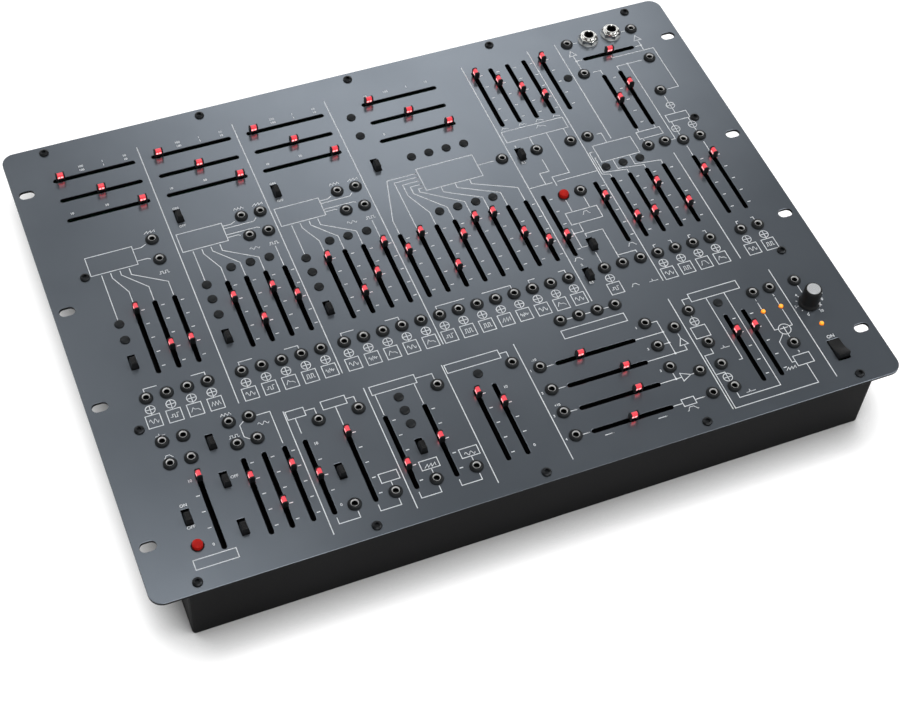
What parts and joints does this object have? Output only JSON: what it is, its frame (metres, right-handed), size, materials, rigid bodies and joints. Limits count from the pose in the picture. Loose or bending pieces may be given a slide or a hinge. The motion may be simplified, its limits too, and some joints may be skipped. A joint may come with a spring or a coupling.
{
  "type": "analog synthesizer",
  "caption": "Flat rack or desk analog synthesizer with fader banks, slide switches, patch sockets and a folded steel tray behind its panel.",
  "frame": {"origin": "centre of the tray's underside, on the surface that it stands on", "axes": "+X to the panel's right, +Y towards the panel's top edge, +Z out of the panel's face"},
  "size_m": [0.4826, 0.3556, 0.0611],
  "materials": {
    "panel_paint": "satin",
    "tray_coat": "satin powder coat",
    "control_boards": "lacquered",
    "main_board": "lacquered",
    "heat_sink": "extruded",
    "reverb_steel": "zinc plated",
    "spring_steel": "bright",
    "ribbon_vinyl": "matte",
    "socket_chrome": "polished",
    "switch_plastic": "moulded",
    "knob_plastic": "moulded",
    "button_plastic": "moulded",
    "fader_plastic": "lit from below"
  },
  "bodies": {
    "chassis": {"front_panel": "panel_paint", "chassis_tray": "tray_coat", "upper_board": "control_boards", "middle_board": "control_boards", "lower_board": "control_boards", "main_board": "main_board", "heat_sink": "heat_sink", "reverb_tank": "reverb_steel", "reverb_spring": "spring_steel", "ribbon_cable": "ribbon_vinyl", "output_socket_left": "socket_chrome", "output_socket_right": "socket_chrome"},
    "oscillator_1_fader_1": {"oscillator_1_fader_1": "fader_plastic"},
    "oscillator_1_fader_2": {"oscillator_1_fader_2": "fader_plastic"},
    "oscillator_1_fader_3": {"oscillator_1_fader_3": "fader_plastic"},
    "oscillator_2_fader_1": {"oscillator_2_fader_1": "fader_plastic"},
    "oscillator_2_fader_2": {"oscillator_2_fader_2": "fader_plastic"},
    "oscillator_2_fader_3": {"oscillator_2_fader_3": "fader_plastic"},
    "oscillator_2_fader_4": {"oscillator_2_fader_4": "fader_plastic"},
    "oscillator_3_fader_1": {"oscillator_3_fader_1": "fader_plastic"},
    "oscillator_3_fader_2": {"oscillator_3_fader_2": "fader_plastic"},
    "oscillator_3_fader_3": {"oscillator_3_fader_3": "fader_plastic"},
    "oscillator_3_fader_4": {"oscillator_3_fader_4": "fader_plastic"},
    "filter_fader_1": {"filter_fader_1": "fader_plastic"},
    "filter_fader_2": {"filter_fader_2": "fader_plastic"},
    "filter_fader_3": {"filter_fader_3": "fader_plastic"},
    "filter_fader_4": {"filter_fader_4": "fader_plastic"},
    "filter_fader_5": {"filter_fader_5": "fader_plastic"},
    "filter_fader_6": {"filter_fader_6": "fader_plastic"},
    "filter_fader_7": {"filter_fader_7": "fader_plastic"},
    "filter_fader_8": {"filter_fader_8": "fader_plastic"},
    "attack_fader": {"attack_fader": "fader_plastic"},
    "release_fader": {"release_fader": "fader_plastic"},
    "amplifier_fader_1": {"amplifier_fader_1": "fader_plastic"},
    "amplifier_fader_2": {"amplifier_fader_2": "fader_plastic"},
    "amplifier_fader_3": {"amplifier_fader_3": "fader_plastic"},
    "amplifier_fader_4": {"amplifier_fader_4": "fader_plastic"},
    "mixer_fader_1": {"mixer_fader_1": "fader_plastic"},
    "mixer_fader_2": {"mixer_fader_2": "fader_plastic"},
    "reverb_fader_1": {"reverb_fader_1": "fader_plastic"},
    "reverb_fader_2": {"reverb_fader_2": "fader_plastic"},
    "sync_switch_2": {"sync_switch_2": "switch_plastic"},
    "sync_switch_3": {"sync_switch_3": "switch_plastic"},
    "filter_mode_switch": {"filter_mode_switch": "switch_plastic"},
    "envelope_speed_switch": {"envelope_speed_switch": "switch_plastic"},
    "trigger_source_switch": {"trigger_source_switch": "switch_plastic"},
    "envelope_factor_switch": {"envelope_factor_switch": "switch_plastic"},
    "keyboard_switch_1": {"keyboard_switch_1": "switch_plastic"},
    "keyboard_switch_2": {"keyboard_switch_2": "switch_plastic"},
    "keyboard_switch_3": {"keyboard_switch_3": "switch_plastic"},
    "portamento_switch": {"portamento_switch": "switch_plastic"},
    "voice_mode_switch": {"voice_mode_switch": "switch_plastic"},
    "repeat_switch": {"repeat_switch": "switch_plastic"},
    "trigger_mode_switch": {"trigger_mode_switch": "switch_plastic"},
    "preamp_range_switch": {"preamp_range_switch": "switch_plastic"},
    "ring_coupling_switch": {"ring_coupling_switch": "switch_plastic"},
    "power_rocker": {"power_rocker": "switch_plastic"},
    "trigger_button": {"trigger_button": "button_plastic"},
    "portamento_button": {"portamento_button": "button_plastic"},
    "phones_knob": {"phones_knob": "knob_plastic"}
  },
  "joints": [
    {"name": "oscillator_1_fader_1_slide", "type": "slide", "parent": "chassis", "child": "oscillator_1_fader_1", "axis": [0, 1, 0], "range_m": [-0.045, 0]},
    {"name": "oscillator_1_fader_2_slide", "type": "slide", "parent": "chassis", "child": "oscillator_1_fader_2", "axis": [0, 1, 0], "range_m": [-0.01125, 0.03375]},
    {"name": "oscillator_1_fader_3_slide", "type": "slide", "parent": "chassis", "child": "oscillator_1_fader_3", "axis": [0, 1, 0], "range_m": [-0.01125, 0.03375]},
    {"name": "oscillator_2_fader_1_slide", "type": "slide", "parent": "chassis", "child": "oscillator_2_fader_1", "axis": [0, 1, 0], "range_m": [-0.03375, 0.01125]},
    {"name": "oscillator_2_fader_2_slide", "type": "slide", "parent": "chassis", "child": "oscillator_2_fader_2", "axis": [0, 1, 0], "range_m": [-0.01125, 0.03375]},
    {"name": "oscillator_2_fader_3_slide", "type": "slide", "parent": "chassis", "child": "oscillator_2_fader_3", "axis": [0, 1, 0], "range_m": [-0.03375, 0.01125]},
    {"name": "oscillator_2_fader_4_slide", "type": "slide", "parent": "chassis", "child": "oscillator_2_fader_4", "axis": [0, 1, 0], "range_m": [-0.0225, 0.0225]},
    {"name": "oscillator_3_fader_1_slide", "type": "slide", "parent": "chassis", "child": "oscillator_3_fader_1", "axis": [0, 1, 0], "range_m": [-0.045, 0]},
    {"name": "oscillator_3_fader_2_slide", "type": "slide", "parent": "chassis", "child": "oscillator_3_fader_2", "axis": [0, 1, 0], "range_m": [-0.01125, 0.03375]},
    {"name": "oscillator_3_fader_3_slide", "type": "slide", "parent": "chassis", "child": "oscillator_3_fader_3", "axis": [0, 1, 0], "range_m": [-0.0225, 0.0225]},
    {"name": "oscillator_3_fader_4_slide", "type": "slide", "parent": "chassis", "child": "oscillator_3_fader_4", "axis": [0, 1, 0], "range_m": [-0.045, 0]},
    {"name": "filter_fader_1_slide", "type": "slide", "parent": "chassis", "child": "filter_fader_1", "axis": [0, 1, 0], "range_m": [-0.03375, 0.01125]},
    {"name": "filter_fader_2_slide", "type": "slide", "parent": "chassis", "child": "filter_fader_2", "axis": [0, 1, 0], "range_m": [-0.045, 0]},
    {"name": "filter_fader_3_slide", "type": "slide", "parent": "chassis", "child": "filter_fader_3", "axis": [0, 1, 0], "range_m": [-0.01125, 0.03375]},
    {"name": "filter_fader_4_slide", "type": "slide", "parent": "chassis", "child": "filter_fader_4", "axis": [0, 1, 0], "range_m": [-0.03375, 0.01125]},
    {"name": "filter_fader_5_slide", "type": "slide", "parent": "chassis", "child": "filter_fader_5", "axis": [0, 1, 0], "range_m": [-0.045, 0]},
    {"name": "filter_fader_6_slide", "type": "slide", "parent": "chassis", "child": "filter_fader_6", "axis": [0, 1, 0], "range_m": [-0.045, 0]},
    {"name": "filter_fader_7_slide", "type": "slide", "parent": "chassis", "child": "filter_fader_7", "axis": [0, 1, 0], "range_m": [-0.0225, 0.0225]},
    {"name": "filter_fader_8_slide", "type": "slide", "parent": "chassis", "child": "filter_fader_8", "axis": [0, 1, 0], "range_m": [-0.01125, 0.03375]},
    {"name": "attack_fader_slide", "type": "slide", "parent": "chassis", "child": "attack_fader", "axis": [0, 1, 0], "range_m": [-0.01125, 0.03375]},
    {"name": "release_fader_slide", "type": "slide", "parent": "chassis", "child": "release_fader", "axis": [0, 1, 0], "range_m": [-0.03375, 0.01125]},
    {"name": "amplifier_fader_1_slide", "type": "slide", "parent": "chassis", "child": "amplifier_fader_1", "axis": [0, 1, 0], "range_m": [-0.01125, 0.03375]},
    {"name": "amplifier_fader_2_slide", "type": "slide", "parent": "chassis", "child": "amplifier_fader_2", "axis": [0, 1, 0], "range_m": [-0.01125, 0.03375]},
    {"name": "amplifier_fader_3_slide", "type": "slide", "parent": "chassis", "child": "amplifier_fader_3", "axis": [0, 1, 0], "range_m": [-0.03375, 0.01125]},
    {"name": "amplifier_fader_4_slide", "type": "slide", "parent": "chassis", "child": "amplifier_fader_4", "axis": [0, 1, 0], "range_m": [-0.01125, 0.03375]},
    {"name": "mixer_fader_1_slide", "type": "slide", "parent": "chassis", "child": "mixer_fader_1", "axis": [0, 1, 0], "range_m": [-0.03375, 0.01125]},
    {"name": "mixer_fader_2_slide", "type": "slide", "parent": "chassis", "child": "mixer_fader_2", "axis": [0, 1, 0], "range_m": [-0.045, 0]},
    {"name": "reverb_fader_1_slide", "type": "slide", "parent": "chassis", "child": "reverb_fader_1", "axis": [0, 1, 0], "range_m": [-0.0225, 0.0225]},
    {"name": "reverb_fader_2_slide", "type": "slide", "parent": "chassis", "child": "reverb_fader_2", "axis": [0, 1, 0], "range_m": [-0.03375, 0.01125]},
    {"name": "sync_switch_2_slide", "type": "slide", "parent": "chassis", "child": "sync_switch_2", "axis": [0, 1, 0], "range_m": [0, 0.004]},
    {"name": "sync_switch_3_slide", "type": "slide", "parent": "chassis", "child": "sync_switch_3", "axis": [0, 1, 0], "range_m": [0, 0.004]},
    {"name": "filter_mode_switch_slide", "type": "slide", "parent": "chassis", "child": "filter_mode_switch", "axis": [0, 1, 0], "range_m": [0, 0.004]},
    {"name": "envelope_speed_switch_slide", "type": "slide", "parent": "chassis", "child": "envelope_speed_switch", "axis": [0, 1, 0], "range_m": [0, 0.004]},
    {"name": "trigger_source_switch_slide", "type": "slide", "parent": "chassis", "child": "trigger_source_switch", "axis": [0, 1, 0], "range_m": [0, 0.004]},
    {"name": "envelope_factor_switch_slide", "type": "slide", "parent": "chassis", "child": "envelope_factor_switch", "axis": [0, 1, 0], "range_m": [0, 0.004]},
    {"name": "keyboard_switch_1_slide", "type": "slide", "parent": "chassis", "child": "keyboard_switch_1", "axis": [0, 1, 0], "range_m": [0, 0.004]},
    {"name": "keyboard_switch_2_slide", "type": "slide", "parent": "chassis", "child": "keyboard_switch_2", "axis": [0, 1, 0], "range_m": [0, 0.004]},
    {"name": "keyboard_switch_3_slide", "type": "slide", "parent": "chassis", "child": "keyboard_switch_3", "axis": [0, 1, 0], "range_m": [0, 0.004]},
    {"name": "portamento_switch_slide", "type": "slide", "parent": "chassis", "child": "portamento_switch", "axis": [0, 1, 0], "range_m": [0, 0.004]},
    {"name": "voice_mode_switch_slide", "type": "slide", "parent": "chassis", "child": "voice_mode_switch", "axis": [0, 1, 0], "range_m": [0, 0.004]},
    {"name": "repeat_switch_slide", "type": "slide", "parent": "chassis", "child": "repeat_switch", "axis": [0, 1, 0], "range_m": [0, 0.004]},
    {"name": "trigger_mode_switch_slide", "type": "slide", "parent": "chassis", "child": "trigger_mode_switch", "axis": [0, 1, 0], "range_m": [0, 0.004]},
    {"name": "preamp_range_switch_slide", "type": "slide", "parent": "chassis", "child": "preamp_range_switch", "axis": [0, 1, 0], "range_m": [0, 0.004]},
    {"name": "ring_coupling_switch_slide", "type": "slide", "parent": "chassis", "child": "ring_coupling_switch", "axis": [0, 1, 0], "range_m": [0, 0.004]},
    {"name": "power_rocker_tip", "type": "hinge", "parent": "chassis", "child": "power_rocker", "pos_m": [0.2102, -0.14988, 0.044], "axis": [1, 0, 0], "range_deg": [0, 16]},
    {"name": "trigger_button_press", "type": "slide", "parent": "chassis", "child": "trigger_button", "axis": [0, 0, -1], "range_m": [0, 0.0009], "stiffness_N_per_m": 300},
    {"name": "portamento_button_press", "type": "slide", "parent": "chassis", "child": "portamento_button", "axis": [0, 0, -1], "range_m": [0, 0.0009], "stiffness_N_per_m": 300},
    {"name": "phones_knob_turn", "type": "hinge", "parent": "chassis", "child": "phones_knob", "pos_m": [0.2102, -0.11102, 0.046], "axis": [0, 0, -1], "range_deg": [0, 300]}
  ]
}
